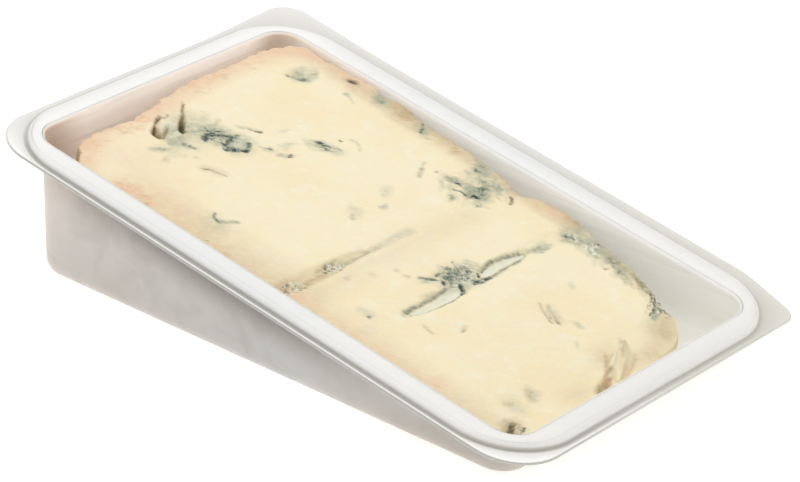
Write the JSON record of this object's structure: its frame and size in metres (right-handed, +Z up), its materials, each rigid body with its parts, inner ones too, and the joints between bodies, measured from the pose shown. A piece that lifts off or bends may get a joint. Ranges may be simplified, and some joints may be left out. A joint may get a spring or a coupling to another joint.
{
  "type": "gorgonzola portion in an open plastic tray",
  "caption": "Slab of soft blue cheese with mould veins, creases and a torn pit, in its open wedge-shaped translucent plastic tray with a raised sealing band and a thin flange.",
  "frame": {"origin": "under the middle of the part's outline, on the surface that the tray stands on", "axes": "+X along the tray from the thick end to the thin end, +Y from the near long side to the far one, +Z up"},
  "size_m": [0.1636, 0.1076, 0.0378],
  "materials": {
    "tray": "milky translucent thermoformed sheet, satin",
    "cheese": "moist cream paste with blue-green mould veins and a peach tinge at the rind side"
  },
  "bodies": {
    "root": {"tray": "tray", "cheese": "cheese"}
  },
  "joints": []
}
